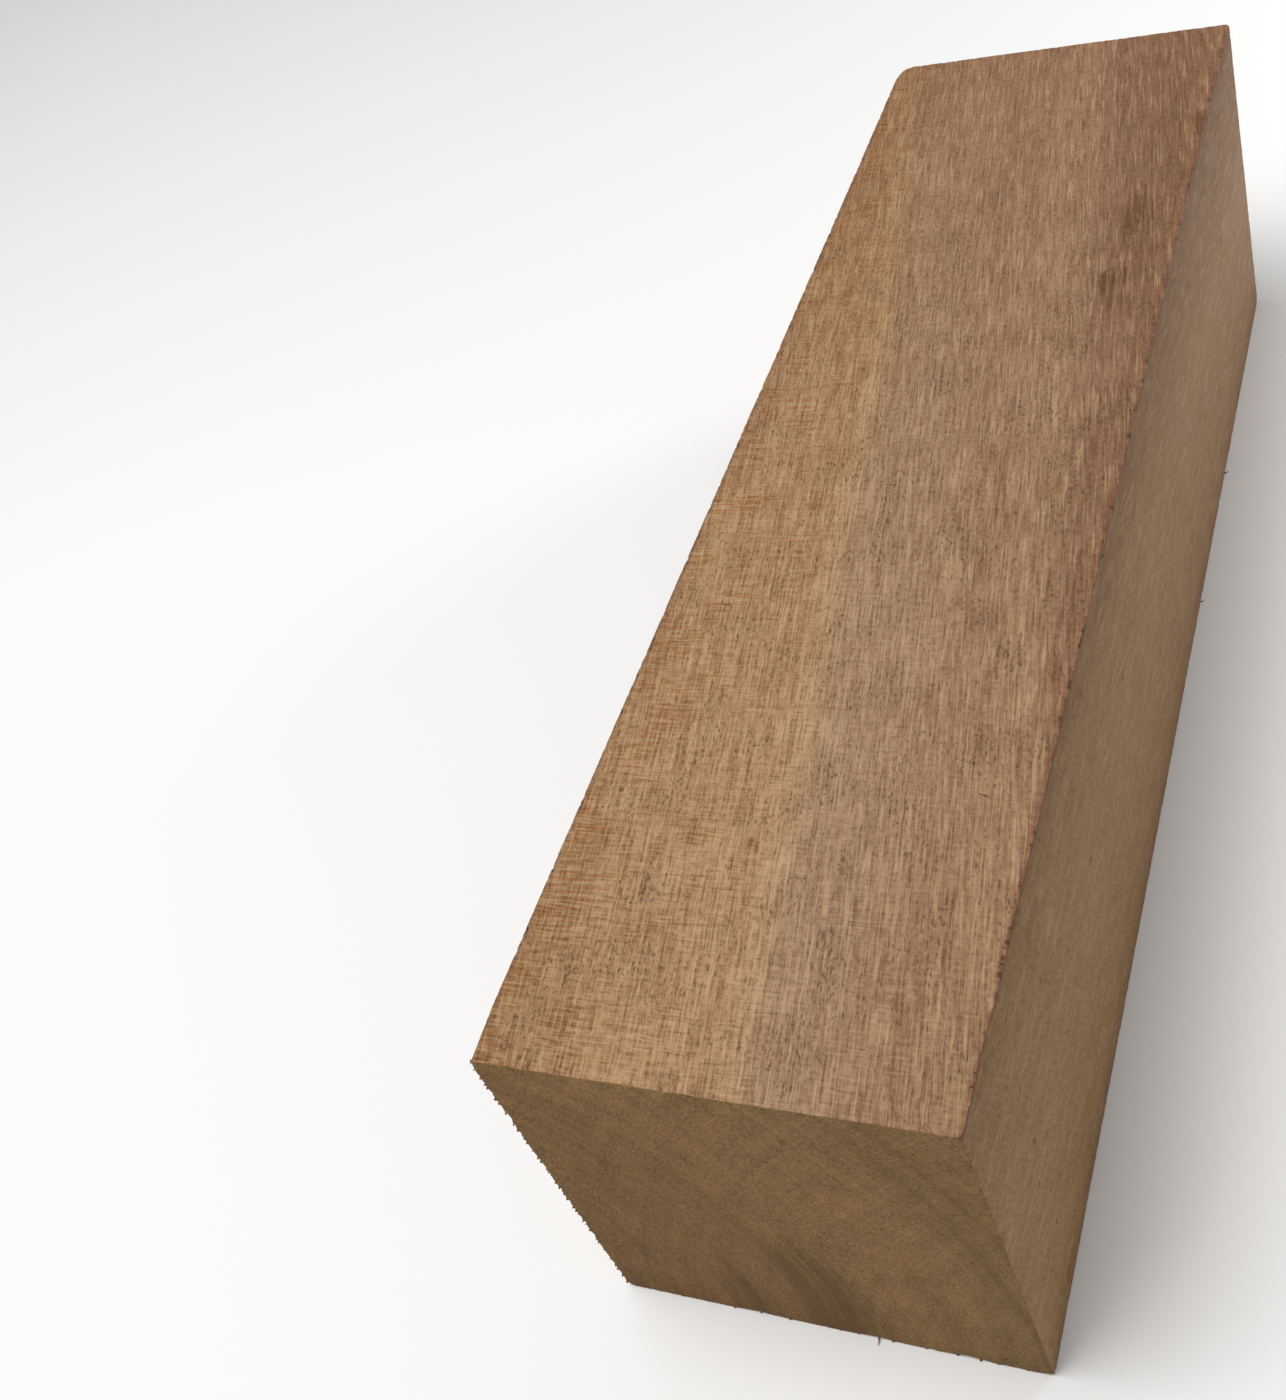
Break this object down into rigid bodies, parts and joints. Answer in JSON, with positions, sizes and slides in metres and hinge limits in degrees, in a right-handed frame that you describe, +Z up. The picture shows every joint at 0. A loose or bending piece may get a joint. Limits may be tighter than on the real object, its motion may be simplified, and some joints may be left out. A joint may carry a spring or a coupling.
{
  "type": "sawn iroko timber beam",
  "caption": "Short squared length of solid sawn iroko timber, used as a post, bearer, rail or turning blank.",
  "frame": {"origin": "middle of the underside, at the bottom centre of the bounding box", "axes": "+Z up, +Y along the beam from its near end to its far end, +X to the right when the near end is seen"},
  "size_m": [0.1, 0.365, 0.1],
  "materials": {
    "iroko": "sawn, matt, unfinished"
  },
  "bodies": {
    "root": {"beam": "iroko"}
  },
  "joints": []
}
